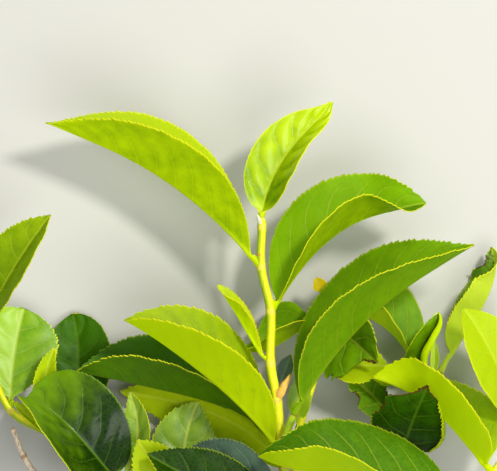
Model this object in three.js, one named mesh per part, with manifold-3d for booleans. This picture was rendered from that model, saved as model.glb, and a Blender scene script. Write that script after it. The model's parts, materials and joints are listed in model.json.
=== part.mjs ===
// A leafy branch cut from a tea bush, lying on a flat surface. A short woody branch carries a main shoot
// and four side shoots, and each shoot carries its leaves, folded into a V along the midrib.
// Units are millimetres. +X is to the right, +Y runs from the cut end to the shoot's tip, +Z is up.
import * as THREE from "three";
import Module from "manifold-3d";
import { mergeVertices } from "three/addons/utils/BufferGeometryUtils.js";

const wasm = await Module();
wasm.setup();

const DEGREE = Math.PI / 180;
const UP = new THREE.Vector3(0, 0, 1);

// Sizes that every leaf and stem shares
const BLADE_THICKNESS = 0.5;
const PETIOLE_RADIUS = 0.9;
const PETIOLE_THICKNESS = 1.6;
const PETIOLE_REACH = 2.3; // the blade is thicker where its half width is still under this
const TIP_HALF_WIDTH = 0.3;
const MARGIN_CURL = 0.12; // how far the margins bend back, as a share of the half width
const STEEPEST_FOLD = 0.8; // the fold closes only as far as the blade's thickness allows
const JOINT_GAP = 0.3; // between a petiole and the stem that it leaves
const NODE_SWELLING = 1.12; // how much thicker a stem is at a node
const STEM_SIDES = 8;
const RINGS_PER_INTERNODE = 2;
const PETIOLE_RINGS = 2;
const BLADE_RING_SPACING = 8;
const FEWEST_BLADE_RINGS = 5;
const BLADE_COLUMNS = [-1, -0.5, 0, 0.5, 1];
const SPINE_STEPS = 48;
const SAME_POINT = 1e-4;

// Finishes
const finish = (color, roughness) => ({ color, roughness, metalness: 0 });
const FINISHES = {
  young: finish(0xa9c80a, 0.45),
  fresh: finish(0x7da80e, 0.42),
  mature: finish(0x2f6312, 0.35),
  grey: finish(0x48655a, 0.3),
  pale: finish(0x86a83c, 0.4),
  green_stem: finish(0xc2cc2c, 0.5),
  woody_stem: finish(0x7d6647, 0.85),
  dead_wood: finish(0xb9a184, 0.9),
  bud: finish(0xd9a648, 0.6),
};

// Stems. Each internode is [length, heading, lift]: the heading is the angle from +X towards +Y,
// and the lift the angle above the level. A stem starts at a node of another stem.
const STEMS = {
  woody_branch: {
    start: [8, -72, -25.2],
    radii: [3.6, 2.3],
    finish: "woody_stem",
    internodes: [[14, 96, 34], [9, 95, 30], [8, 94, 26], [8, 94, 24], [17, 94, 20]],
  },
  main_stem: {
    on: ["woody_branch", 5],
    radii: [2.0, 1.2],
    finish: "green_stem",
    internodes: [
      [8, 98, 2], [6, 98, 0], [3, 98, 0], [18.3, 95, 0], [13.5, 100, 0],
      [18.8, 90, 0], [16.3, 102, 0], [14.4, 89, 0], [3.6, 92, 0],
    ],
  },
  second_stem: {
    on: ["woody_branch", 4],
    radii: [1.8, 1.4],
    finish: "green_stem",
    internodes: [[9, 92, 52], [22, 96, 10.5], [11, 88, 2], [8.5, 70, 0]],
  },
  back_stem: {
    on: ["woody_branch", 3],
    radii: [1.9, 1.1],
    finish: "green_stem",
    internodes: [[10, 88, -3], [36, 87, -7], [25.3, 75, 0], [18.1, 83, 0], [6.2, 81, 0]],
  },
  right_stem: {
    on: ["woody_branch", 1],
    radii: [2.1, 1.0],
    finish: "green_stem",
    internodes: [
      [30, 36, 7.5], [20, 50, 0], [18, 85, -14], [10.8, 90, -6], [15, 62, 0], [6.5, 60, 0], [5, 40, 0],
    ],
  },
  right_side_stem: {
    on: ["right_stem", 2],
    radii: [1.7, 1.2],
    finish: "green_stem",
    internodes: [[30, 2, 40], [19, 50, -23], [17, 60, -15]],
  },
  left_stem: {
    on: ["woody_branch", 2],
    radii: [2.1, 1.1],
    finish: "green_stem",
    internodes: [[42.9, 147, -2], [30, 156, 0], [27.5, 144, 0], [19.7, 150, 0], [30, 111, 0]],
  },
  dead_twig: {
    on: ["left_stem", 2],
    radii: [1.4, 0.9],
    finish: "dead_wood",
    internodes: [[28.5, 176, 8], [10, 128, 10], [11, 112, 5]],
  },
};

// Leaves. The midrib leaves a node of its stem and turns from the first heading and lift to the last, by
// way of the middle one where there are three. The fold is each half's angle up from flat. The roll turns
// the open side of the V about the midrib: 0 faces up, 90 to the left of the heading, -90 to the right.
// The tapers say how fully the outline widens from the base and narrows to the tip: less is fuller.
const USUAL = { petiole: 4, taper: [0.95, 0.9], finish: "fresh" };
const leaf = (on, length, halfWidth, heading, lift, fold, roll, more = {}) => ({
  on, length, halfWidth, heading, lift, fold, roll, ...USUAL, ...more,
});
const LEAVES = {
  top_leaf: leaf(
    ["main_stem", 9], 49, 13.6, [83, 55, 47], [0, 0], [42, 41, 32], [30, 30],
    { finish: "young", petiole: 2.5, taper: [0.6, 0.95] },
  ),
  upper_left_leaf: leaf(
    ["main_stem", 7], 95, 20.8, [124, 147, 163], [0, 0], [60, 60], [-84, -80],
    { finish: "young", petiole: 5, taper: [1.05, 0.85] },
  ),
  upper_right_leaf: leaf(
    ["main_stem", 6], 71.5, 20.5, [60, 35, 7], [0, 0], [34, 52, 20], [62, 62], { taper: [0.7, 0.75] },
  ),
  small_left_leaf: leaf(
    ["main_stem", 5], 33.5, 6.5, [114, 123, 125], [0, 0], [64, 64], [-85, -85],
    { finish: "young", petiole: 3 },
  ),
  axillary_leaf: leaf(
    ["main_stem", 4], 19.5, 4, [80, 66], [-50, 10], [30, 30], [20, 20], { finish: "grey", petiole: 2 },
  ),
  lower_left_leaf: leaf(
    ["main_stem", 3], 73, 21.8, [128, 142, 150], [10, 4, 0], [58, 52, 47], [-82, -75, -71],
    { finish: "young", taper: [1.05, 0.8] },
  ),
  shaded_left_leaf: leaf(
    ["main_stem", 2], 88, 20, [126, 161, 174], [-52, -4, 6], [50, 50], [-73, -73],
    { finish: "mature", petiole: 6, taper: [1.15, 0.9] },
  ),
  grey_leaf: leaf(
    ["main_stem", 1], 44, 12.5, [178, 178, 194], [-18, -14], [12, 12], [-12, -12], { finish: "grey" },
  ),
  bright_mid_leaf: leaf(
    ["main_stem", 1], 76, 8, [114, 159, 168], [-48, -16, -4], [40, 40], [-60, -60],
    { finish: "young" },
  ),
  dark_front_leaf: leaf(
    ["main_stem", 0], 54, 13, [178, 162, 146], [6, 2], [35, 35], [-30, -30], { finish: "mature" },
  ),
  large_right_leaf: leaf(
    ["second_stem", 4], 90.5, 21.8, [62, 42, 27], [0, 0], [58, 50, 42], [82, 74, 66],
    { petiole: 5, taper: [1.05, 0.9] },
  ),
  oval_leaf: leaf(["back_stem", 2], 22, 4.5, [90, 84], [10, 10], [20, 20], [0, 0]),
  bright_back_leaf: leaf(
    ["back_stem", 3], 26, 7, [16, 4], [8, 8], [30, 30], [20, 20], { finish: "young", petiole: 3 },
  ),
  back_leaf: leaf(["back_stem", 4], 38, 14, [208, 165], [0, 0], [63, 63], [-67, -67]),
  chewed_leaf: leaf(["back_stem", 4], 26, 15, [-34, -42], [28, 22], [31, 31], [-31, -31]),
  yellow_tip_leaf: leaf(
    ["back_stem", 5], 10, 3.2, [106, 118], [0, 0], [20, 20], [0, 0], { finish: "young", petiole: 2.5 },
  ),
  dark_chewed_leaf: leaf(
    ["right_stem", 3], 44, 15, [84, 72, 66], [50, 48, 36], [15, 15], [0, 0], { finish: "mature" },
  ),
  brown_leaf: leaf(
    ["right_stem", 4], 30.5, 6.5, [120, 146], [12, 12], [15, 15], [-20, -20], { finish: "mature" },
  ),
  narrow_leaf: leaf(["right_stem", 6], 29, 6.3, [134, 80, 58], [29, 13, 4], [45, 45], [15, 15]),
  right_pair_leaf: leaf(["right_stem", 5], 46, 17.5, [114, 136, 154], [-32, -1, 5], [50, 50], [-70, -70]),
  pale_bud_leaf: leaf(
    ["right_stem", 6], 15, 2.2, [62, 88, 90], [-10, 8], [50, 50], [0, 0],
    { finish: "young", petiole: 2 },
  ),
  tall_leaf: leaf(
    ["right_stem", 7], 51, 13, [64, 61, 98], [-12, 2], [50, 50], [72, 72],
    { finish: "pale", petiole: 8, taper: [1.1, 0.9] },
  ),
  front_leaf: leaf(
    ["right_side_stem", 1], 77.5, 24, [160, 167, 164], [10, 2], [42, 46, 48], [-64, -68, -70],
    { finish: "young", petiole: 5 },
  ),
  arched_leaf: leaf(
    ["right_side_stem", 2], 59, 22, [121, 138, 158], [0, 0], [54, 54], [-70, -76], { finish: "young" },
  ),
  right_edge_leaf: leaf(
    ["right_side_stem", 3], 50, 13, [98, 113, 128], [16, 4, -10], [25, 25], [-30, -30],
    { finish: "young" },
  ),
  pale_leaf: leaf(
    ["left_stem", 1], 45, 10, [110, 94, 78], [-36, -2], [10, 10], [0, 0], { finish: "pale" },
  ),
  yellow_front_leaf: leaf(
    ["left_stem", 1], 36, 9, [130, 122], [0, -7], [20, 20], [0, 0], { finish: "young" },
  ),
  big_dark_leaf: leaf(
    ["left_stem", 2], 54, 20, [126, 132, 142], [57, 8, -33], [29, 29], [-29, -29],
    { finish: "mature", taper: [0.9, 0.7] },
  ),
  left_young_leaf: leaf(["left_stem", 2], 35, 6, [50, 84, 115], [9, 4], [30, 30], [20, 20]),
  curled_small_leaf: leaf(
    ["left_stem", 3], 23, 4, [160, 120], [30, 4], [50, 50], [-40, -40],
    { finish: "young", petiole: 3 },
  ),
  left_bright_leaf: leaf(
    ["left_stem", 3], 34, 7.5, [104, 78], [15, -6], [40, 40], [0, 0], { finish: "young" },
  ),
  left_round_leaf: leaf(
    ["left_stem", 3], 50, 13, [60, 105], [-48, -15, 2], [20, 20], [0, 0],
    { finish: "mature", taper: [0.9, 0.55] },
  ),
  left_tall_leaf: leaf(
    ["left_stem", 4], 38, 15.5, [90, 75], [-12, -12], [12, 12], [-5, -5], { taper: [0.9, 0.55] },
  ),
  left_edge_leaf: leaf(["left_stem", 5], 54, 13, [66, 52], [38, 0], [35, 35], [40, 40]),
};

// Buds are short tapering bodies on a node.
const BUDS = {
  terminal_bud: { on: ["main_stem", 8], length: 5, radius: 0.8, heading: 113, lift: 30 },
  axillary_bud: { on: ["main_stem", 4], length: 11, radius: 1.1, heading: 62, lift: 22 },
};

// Unit vector for a heading and a lift in degrees
function direction(heading, lift) {
  const level = Math.cos(lift * DEGREE);
  return new THREE.Vector3(
    level * Math.cos(heading * DEGREE),
    level * Math.sin(heading * DEGREE),
    Math.sin(lift * DEGREE),
  );
}

// A value at a share of the way along: a straight change between two values, or a smooth one through three
function mix(values, share) {
  if (values.length === 2) return values[0] + (values[1] - values[0]) * share;
  const [first, middle, last] = values;
  const bend = first - 2 * middle + last;
  return first + (4 * middle - 3 * first - last) * share + 2 * bend * share * share;
}

// Closes a row of rings, each an even number of points, into one body: walls between the rings, and a
// strip of quads over each end.
function loft(rings) {
  const count = rings[0].length;
  const positions = rings.flatMap((ring) => ring.flatMap((point) => [point.x, point.y, point.z]));
  const index = [];
  const quad = (a, b, c, d) => index.push(a, b, c, a, c, d);
  for (let row = 0; row + 1 < rings.length; row++)
    for (let i = 0; i < count; i++) {
      const next = (i + 1) % count;
      quad(row * count + i, row * count + next, (row + 1) * count + next, (row + 1) * count + i);
    }
  const last = (rings.length - 1) * count;
  for (let i = 0; i + 1 < count / 2; i++) {
    quad(i, count - 1 - i, count - 2 - i, i + 1);
    quad(last + i, last + i + 1, last + count - 2 - i, last + count - 1 - i);
  }
  const geometry = new THREE.BufferGeometry();
  geometry.setAttribute("position", new THREE.Float32BufferAttribute(positions, 3));
  geometry.setIndex(index);
  return geometry;
}

// A ring of points round a centre, square to a tangent
function roundRing(centre, tangent, radius, sides) {
  const side = new THREE.Vector3().crossVectors(UP, tangent).normalize();
  const top = new THREE.Vector3().crossVectors(tangent, side);
  return Array.from({ length: sides }, (_, i) => {
    const angle = (2 * Math.PI * (i + 0.5)) / sides;
    return centre.clone()
      .addScaledVector(side, radius * Math.cos(angle))
      .addScaledVector(top, radius * Math.sin(angle));
  });
}

// The nodes of a stem, in order from its start
function nodesOf(name) {
  const stem = STEMS[name];
  const point = stem.start ? new THREE.Vector3(...stem.start) : nodesOf(stem.on[0])[stem.on[1]].clone();
  const nodes = [point.clone()];
  for (const [length, heading, lift] of stem.internodes)
    nodes.push(point.addScaledVector(direction(heading, lift), length).clone());
  return nodes;
}

// A stem follows a smooth curve through its nodes, tapers, and swells a little at each node. A margin
// makes it thicker, and longer at both ends.
function stemGeometry(name, margin = 0) {
  const nodes = nodesOf(name);
  const curve = new THREE.CatmullRomCurve3(nodes, false, "centripetal");
  const steps = (nodes.length - 1) * RINGS_PER_INTERNODE;
  const rings = [];
  for (let i = 0; i <= steps; i++) {
    const share = i / steps;
    const swelling = i % RINGS_PER_INTERNODE === 0 ? NODE_SWELLING : 1;
    const radius = mix(STEMS[name].radii, share) * swelling + margin;
    const tangent = curve.getTangent(share);
    const overrun = i === 0 ? -margin : i === steps ? margin : 0;
    const centre = curve.getPoint(share).addScaledVector(tangent, overrun);
    rings.push(roundRing(centre, tangent, radius, STEM_SIDES));
  }
  return loft(rings);
}

// Points and directions along a leaf's midrib
function midrib({ heading, lift, length }, base) {
  const spine = [];
  const point = base.clone();
  for (let i = 0; i <= SPINE_STEPS; i++) {
    const share = i / SPINE_STEPS;
    const tangent = direction(mix(heading, share), mix(lift, share));
    spine.push({ point: point.clone(), tangent });
    point.addScaledVector(tangent, length / SPINE_STEPS);
  }
  return (share) => {
    const at = Math.min(share * SPINE_STEPS, SPINE_STEPS - 1e-6);
    const from = spine[Math.floor(at)];
    const to = spine[Math.floor(at) + 1];
    const part = at - Math.floor(at);
    return {
      point: from.point.clone().lerp(to.point, part),
      tangent: from.tangent.clone().lerp(to.tangent, part).normalize(),
    };
  };
}

// A tea leaf's outline: the half width at a share of the blade's length, as a share of the widest
function outline(share, [baseTaper, tipTaper]) {
  const widest = baseTaper / (baseTaper + tipTaper);
  const shape = (t) => t ** baseTaper * (1 - t) ** tipTaper;
  return shape(share) / shape(widest);
}

// The ring of a leaf at a share of its length: its upper face from one margin to the other, and its
// lower face back.
function leafRing(shape, along, share) {
  const { point, tangent } = along(share);
  const petioleShare = shape.petiole / shape.length;
  const bladeShare = THREE.MathUtils.clamp((share - petioleShare) / (1 - petioleShare), 0, 1);
  const blade = shape.halfWidth * outline(bladeShare, shape.taper);
  const nearBase = share < 0.5;
  const halfWidth = Math.max(blade, nearBase ? PETIOLE_RADIUS : TIP_HALF_WIDTH);
  const thickening = nearBase ? Math.max(0, 1 - blade / PETIOLE_REACH) : 0;
  const thickness = mix([BLADE_THICKNESS, PETIOLE_THICKNESS], thickening);
  const wanted = mix(shape.fold, share) * DEGREE;
  const fold = Math.min(wanted, Math.atan((STEEPEST_FOLD * halfWidth) / thickness));
  const level = UP.clone().addScaledVector(tangent, -UP.dot(tangent)).normalize();
  const left = new THREE.Vector3().crossVectors(level, tangent);
  const roll = mix(shape.roll, share) * DEGREE;
  const open = level.clone().multiplyScalar(Math.cos(roll)).addScaledVector(left, Math.sin(roll));
  const side = left.clone().multiplyScalar(Math.cos(roll)).addScaledVector(level, -Math.sin(roll));
  const face = (column, sign) => {
    const out = Math.abs(column);
    const across = column * halfWidth * Math.cos(fold);
    const rise = halfWidth * (out * Math.sin(fold) - MARGIN_CURL * out * out);
    const half = (sign * thickness) / 2;
    const lean = -Math.sign(column) * Math.sin(fold);
    const height = column === 0 ? 1 / Math.cos(fold) : Math.cos(fold);
    return point.clone()
      .addScaledVector(side, across + half * lean)
      .addScaledVector(open, rise + half * height);
  };
  return [
    ...BLADE_COLUMNS.map((column) => face(column, 1)),
    ...BLADE_COLUMNS.toReversed().map((column) => face(column, -1)),
  ];
}

function leafGeometry(shape, base) {
  const along = midrib(shape, base);
  const petioleShare = shape.petiole / shape.length;
  const shares = [];
  for (let i = 0; i < PETIOLE_RINGS; i++) shares.push((petioleShare * i) / PETIOLE_RINGS);
  const rings = Math.max(FEWEST_BLADE_RINGS, Math.round(shape.length / BLADE_RING_SPACING));
  for (let i = 0; i <= rings; i++) shares.push(petioleShare + ((1 - petioleShare) * i) / rings);
  return loft(shares.map((share) => leafRing(shape, along, share)).reverse());
}

// A bud swells from its base and closes to a point.
const BUD_PROFILE = [[0, 0.7], [0.3, 1], [0.6, 0.8], [0.85, 0.4], [1, 0.1]];
function budGeometry({ length, radius, heading, lift }, base) {
  const tangent = direction(heading, lift);
  return loft(BUD_PROFILE.map(([share, width]) =>
    roundRing(base.clone().addScaledVector(tangent, length * share), tangent, radius * width, STEM_SIDES)));
}

// A closed geometry as a solid, and back
function solidOf(geometry) {
  const merged = mergeVertices(geometry, SAME_POINT);
  return new wasm.Manifold(new wasm.Mesh({
    numProp: 3,
    vertProperties: new Float32Array(merged.attributes.position.array),
    triVerts: new Uint32Array(merged.index.array),
  }));
}

function geometryOf(solid) {
  const { vertProperties, triVerts } = solid.getMesh();
  const geometry = new THREE.BufferGeometry();
  geometry.setAttribute("position", new THREE.BufferAttribute(vertProperties, 3));
  geometry.setIndex(new THREE.BufferAttribute(triVerts, 1));
  return geometry;
}

// What is left of a piece once the stems that carry it, with the joint's gap, are taken away. The end
// inside a stem falls away with it.
function cutBack(geometry, carriers) {
  const left = carriers.reduce(
    (solid, carrier) => solid.subtract(solidOf(stemGeometry(carrier, JOINT_GAP))),
    solidOf(geometry),
  );
  const pieces = left.decompose();
  const larger = (a, b) => (b.volume() > a.volume() ? b : a);
  return geometryOf(pieces.reduce(larger));
}

const branch = new THREE.Group();

function addMesh(name, geometry, finishName, parent, base) {
  geometry.translate(-base.x, -base.y, -base.z);
  const mesh = new THREE.Mesh(geometry, new THREE.MeshStandardMaterial(FINISHES[finishName]));
  mesh.name = name;
  mesh.position.copy(base);
  parent.add(mesh);
}

for (const [stemName, stem] of Object.entries(STEMS)) {
  const shoot = new THREE.Group();
  const nodes = nodesOf(stemName);
  const whole = stemGeometry(stemName);
  const carriers = stem.on ? [stemName, stem.on[0]] : [stemName];
  addMesh(stemName, stem.on ? cutBack(whole, [stem.on[0]]) : whole, stem.finish, shoot, nodes[0]);
  for (const [name, shape] of Object.entries(LEAVES))
    if (shape.on[0] === stemName) {
      const base = nodes[shape.on[1]];
      addMesh(name, cutBack(leafGeometry(shape, base), carriers), shape.finish, shoot, base);
    }
  for (const [name, bud] of Object.entries(BUDS))
    if (bud.on[0] === stemName) {
      const base = nodes[bud.on[1]];
      addMesh(name, cutBack(budGeometry(bud, base), carriers), "bud", shoot, base);
    }
  branch.add(shoot);
}

// The origin is under the middle of the branch, on the surface that it lies on.
const box = new THREE.Box3().setFromObject(branch, true);
const middle = box.getCenter(new THREE.Vector3());
branch.position.set(-middle.x, -middle.y, -box.min.z);

export default branch;
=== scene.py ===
import json

import bpy
import numpy as np
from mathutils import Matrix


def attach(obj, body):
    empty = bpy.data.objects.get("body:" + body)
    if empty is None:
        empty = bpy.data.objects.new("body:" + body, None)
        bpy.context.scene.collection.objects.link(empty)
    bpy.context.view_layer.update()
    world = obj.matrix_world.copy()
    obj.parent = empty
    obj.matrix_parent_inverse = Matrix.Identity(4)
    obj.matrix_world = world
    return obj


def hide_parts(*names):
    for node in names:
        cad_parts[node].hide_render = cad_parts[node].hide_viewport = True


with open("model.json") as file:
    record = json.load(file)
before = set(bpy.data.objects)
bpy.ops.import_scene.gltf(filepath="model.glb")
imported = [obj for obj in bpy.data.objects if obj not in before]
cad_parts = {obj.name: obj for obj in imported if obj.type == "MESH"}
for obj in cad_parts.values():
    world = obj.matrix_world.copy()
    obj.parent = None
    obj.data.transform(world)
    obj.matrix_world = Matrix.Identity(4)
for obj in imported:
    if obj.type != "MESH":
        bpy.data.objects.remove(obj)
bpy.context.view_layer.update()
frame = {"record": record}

# A leafy branch cut from a tea bush, lying on a pale floor and seen from straight above.
# Metres throughout: +X is right in the picture, +Y is up in it, and +Z faces the camera.

up = np.array([0.0, 0.0, 1.0])
cutEnd = np.array(frame["record"]["mounts"][0]["pos_m"])  # middle of the woody stub's cut face
sameSpot = 1e-6  # vertices closer than this are one
unwrapScale = 10  # one unit of the unwrap is 0.1 m of surface
print("frame loaded")


# Small helpers

def direction(heading, lift):  # unit vectors for headings from +X towards +Y and lifts above the level
    heading, lift = np.radians(heading), np.radians(lift)
    level = np.cos(lift)
    return np.stack([level * np.cos(heading), level * np.sin(heading), np.sin(lift)], -1)


def unit(vectors):
    return vectors / np.linalg.norm(vectors, axis=-1, keepdims=True)


def mix(values, share):  # one value all along, straight between two, smooth through three
    if np.ndim(values) == 0:
        return values + 0 * share
    if len(values) == 2:
        return values[0] + (values[1] - values[0]) * share
    first, middle, last = values
    bend = first - 2 * middle + last
    return first + (4 * middle - 3 * first - last) * share + 2 * bend * share ** 2


def smooth(value, low, high):  # 0 below low, 1 above high, an S between
    share = np.clip((value - low) / (high - low), 0, 1)
    return share * share * (3 - 2 * share)


def ripple(place, seed, waves=(1.0, 2.3, 4.1)):  # gentle uneven wave within -1 to 1, the same each run
    phases = np.random.default_rng(seed).uniform(0, 2 * np.pi, len(waves))
    return sum(np.sin(place * wave + phase) for wave, phase in zip(waves, phases)) / len(waves)


def addGrid(node, across, along):  # a flat grid of faces, and where each vertex is in it, from -1 to 1
    bpy.ops.object.select_all(action="DESELECT")
    bpy.ops.mesh.primitive_grid_add(x_subdivisions=across, y_subdivisions=along, size=2)
    piece = bpy.context.object
    first, *others = node.split("_")
    piece.name = first + "".join(word.capitalize() for word in others)  # topLeaf for top_leaf
    places = np.empty(len(piece.data.vertices) * 3)
    piece.data.vertices.foreach_get("co", places)
    return piece, places[0::3], places[1::3]


def setPlaces(piece, places):
    piece.data.vertices.foreach_set("co", places.astype(np.float32).ravel())
    piece.data.update()


def addAttribute(piece, name, values):
    kind, field = ("FLOAT", "value") if values.ndim == 1 else ("FLOAT_VECTOR", "vector")
    attribute = piece.data.attributes.new(name, kind, "POINT")
    attribute.data.foreach_set(field, values.astype(np.float32).ravel())


def setUnwrap(piece, flat):
    corners = np.empty(len(piece.data.loops), np.int32)
    piece.data.loops.foreach_get("vertex_index", corners)
    piece.data.uv_layers.active.data.foreach_set("uv", flat[corners].astype(np.float32).ravel())


def closeSeam(capEnds=True):  # of the active piece
    bpy.ops.object.mode_set(mode="EDIT")
    bpy.ops.mesh.select_all(action="SELECT")
    bpy.ops.mesh.remove_doubles(threshold=sameSpot)
    if capEnds:
        bpy.ops.mesh.select_all(action="DESELECT")
        bpy.ops.mesh.select_non_manifold()
        bpy.ops.mesh.fill_holes(sides=0)
    bpy.ops.object.mode_set(mode="OBJECT")


def settle(piece, node):  # last step of each piece
    bpy.ops.object.shade_smooth()
    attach(piece, "root")
    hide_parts(node)


# Shader helpers

def socketValue(value):  # colours are written as hex digits of the screen's scale
    if not isinstance(value, str):
        return value
    shares = [int(value[i:i + 2], 16) / 255 for i in (0, 2, 4)]
    return [s / 12.92 if s <= 0.04045 else ((s + 0.055) / 1.055) ** 2.4 for s in shares] + [1.0]


def newGroup(name, inputs):
    group = bpy.data.node_groups.new(name, "ShaderNodeTree")
    for label, value in inputs.items():
        kind = "NodeSocketColor" if isinstance(value, str) else "NodeSocketFloat"
        socket = group.interface.new_socket(label, in_out="INPUT", socket_type=kind)
        socket.default_value = socketValue(value)
    for label, kind in (("Color", "Color"), ("Roughness", "Float"), ("Height", "Float")):
        group.interface.new_socket(label, in_out="OUTPUT", socket_type="NodeSocket" + kind)
    return group, group.nodes.new("NodeGroupInput").outputs, group.nodes.new("NodeGroupOutput").inputs


def feed(socket, value):
    if isinstance(value, bpy.types.NodeSocket):
        socket.id_data.links.new(value, socket)
    else:
        socket.default_value = value


def addNode(kind, beside):  # a new node in the tree that a socket is in
    return beside.id_data.nodes.new("ShaderNode" + kind)


def maths(operation, *values):
    node = addNode("Math", values[0])
    node.operation = operation
    for socket, value in zip(node.inputs, values):
        feed(socket, value)
    return node.outputs[0]


def ramp(value, low, high, start=0.0, end=1.0):
    node = addNode("MapRange", value)
    node.interpolation_type = "SMOOTHSTEP"
    for socket, number in zip(node.inputs, (value, low, high, start, end)):
        feed(socket, number)
    return node.outputs[0]


def blend(share, first, second):
    node = addNode("Mix", share)
    node.data_type = "RGBA"
    for number, value in ((0, share), (6, first), (7, second)):  # 6 and 7 are its colours
        feed(node.inputs[number], value)
    return node.outputs[2]


def readAttribute(tree, name):
    node = tree.nodes.new("ShaderNodeAttribute")
    node.attribute_name = name
    return node.outputs


def readParts(vector):
    node = addNode("SeparateXYZ", vector)
    feed(node.inputs[0], vector)
    return node.outputs


def noiseAt(vector, scale, detail):
    node = addNode("TexNoise", vector)
    feed(node.inputs["Vector"], vector)
    feed(node.inputs["Scale"], scale)
    feed(node.inputs["Detail"], detail)
    return node.outputs["Fac"]


# Leaf skin: veins, fine netting, mottling, a paler rim, dried patches and painted light and shade.
# It reads the leaf's own unwrap and the attributes veins (place between lateral veins, place from
# margin to margin, share along the blade), tone, which also carries the painted light and shade, and wither.

leafInputs = {
    "Bright": "a9c304", "Deep": "4f8004", "Vein": "cfd84a", "Rim": "f4f428", "Dry": "5c4014",
    "Vein Strength": 0.3, "Midrib Strength": 0.6, "Netting": 0.3, "Gloss": 0.4,
}
leafPattern = {
    "veinReach": 0.06,  # share of the way to the next vein
    "veinsFade": (0.6, 0.92),  # shares of the way to the margin
    "midribReach": (0.0025, 0.0075),  # on the unwrap
    "netScale": 55.0, "netReach": 0.16, "rimFrom": 0.95, "rimStrength": 0.9,
    "mottle": (22.0, 3.0), "ragged": (90.0, 4.0),  # scale and detail
    "mottleDepth": 0.5, "raggedDepth": 0.9, "witherFrom": (0.35, 0.6), "roughMottle": 0.12,
    "roughDry": 0.3, "veinSink": 0.7, "netSink": 0.25, "mottleRise": 0.4,
}
leafSkin, given, made = newGroup("leafSkin", leafInputs)
unwrap = leafSkin.nodes.new("ShaderNodeUVMap").outputs[0]
between, sideways = readParts(readAttribute(leafSkin, "veins")["Vector"])[:2]
fromMidrib = maths("ABSOLUTE", sideways)
toVein = maths("PINGPONG", between, 0.5)  # 0 on a lateral vein, 0.5 halfway to the next
lateral = ramp(toVein, 0.0, leafPattern["veinReach"], 1.0, 0.0)
fading = ramp(fromMidrib, *leafPattern["veinsFade"], 1.0, 0.0)
lateral = maths("MULTIPLY", lateral, fading)
midribPlace = maths("ABSOLUTE", maths("SUBTRACT", readParts(unwrap)[1], 0.5))
midrib = ramp(midribPlace, *leafPattern["midribReach"], 1.0, 0.0)
cells = addNode("TexVoronoi", unwrap)
cells.feature = "DISTANCE_TO_EDGE"
feed(cells.inputs["Scale"], leafPattern["netScale"])
feed(cells.inputs["Vector"], unwrap)
netting = ramp(cells.outputs["Distance"], 0.0, leafPattern["netReach"], 1.0, 0.0)
netting = maths("MULTIPLY", netting, given["Netting"])
mottle = noiseAt(unwrap, *leafPattern["mottle"])
tone = readAttribute(leafSkin, "tone")["Fac"]
uneven = maths("MULTIPLY", maths("SUBTRACT", mottle, 0.5), leafPattern["mottleDepth"])
tone = maths("ADD", tone, uneven)
skin = blend(ramp(tone, 0.0, 1.0), given["Deep"], given["Bright"])
veining = maths("MULTIPLY", maths("ADD", lateral, netting), given["Vein Strength"])
skin = blend(veining, skin, given["Vein"])
skin = blend(maths("MULTIPLY", midrib, given["Midrib Strength"]), skin, given["Vein"])
paleRim = ramp(fromMidrib, leafPattern["rimFrom"], 1.0, 0.0, leafPattern["rimStrength"])
skin = blend(paleRim, skin, given["Rim"])
ragged = maths("SUBTRACT", noiseAt(unwrap, *leafPattern["ragged"]), 0.5)
ragged = maths("MULTIPLY", ragged, leafPattern["raggedDepth"])
wither = maths("ADD", readAttribute(leafSkin, "wither")["Fac"], ragged)
wither = ramp(wither, *leafPattern["witherFrom"])
feed(made["Color"], blend(wither, skin, given["Dry"]))
rough = maths("MULTIPLY", mottle, leafPattern["roughMottle"])
rough = maths("ADD", given["Gloss"], rough)
dryRough = maths("MULTIPLY", wither, leafPattern["roughDry"])
feed(made["Roughness"], maths("ADD", rough, dryRough))
sunkVeins = maths("MULTIPLY", lateral, leafPattern["veinSink"])
sunkNet = maths("MULTIPLY", netting, leafPattern["netSink"])
risen = maths("MULTIPLY", mottle, leafPattern["mottleRise"])
sunk = maths("ADD", sunkVeins, sunkNet)
feed(made["Height"], maths("SUBTRACT", risen, sunk))


bumpStrength = 0.6


def skinMaterial(name, group, settings, relief=0.0002, coat=0.0, through=None, shine=0.5, coatGloss=0.3):
    material = bpy.data.materials.new(name)
    material.use_nodes = True
    nodes = material.node_tree.nodes
    shader = nodes["Principled BSDF"]
    colours = nodes.new("ShaderNodeGroup")
    colours.node_tree = group
    for label, value in settings.items():
        colours.inputs[label].default_value = socketValue(value)
    bump = nodes.new("ShaderNodeBump")
    bump.inputs["Strength"].default_value = bumpStrength
    bump.inputs["Distance"].default_value = relief
    feed(bump.inputs["Height"], colours.outputs["Height"])
    feed(shader.inputs["Base Color"], colours.outputs["Color"])
    feed(shader.inputs["Roughness"], colours.outputs["Roughness"])
    feed(shader.inputs["Normal"], bump.outputs[0])
    shader.inputs["Specular IOR Level"].default_value = shine
    shader.inputs["Coat Weight"].default_value = coat
    shader.inputs["Coat Roughness"].default_value = coatGloss
    if through:  # light that passes through the blade
        glow = nodes.new("ShaderNodeBsdfTranslucent")
        feed(glow.inputs["Color"], colours.outputs["Color"])
        both = nodes.new("ShaderNodeMixShader")
        both.inputs[0].default_value = through
        feed(both.inputs[1], shader.outputs[0])
        feed(both.inputs[2], glow.outputs[0])
        feed(nodes["Material Output"].inputs[0], both.outputs[0])
    return material


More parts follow.
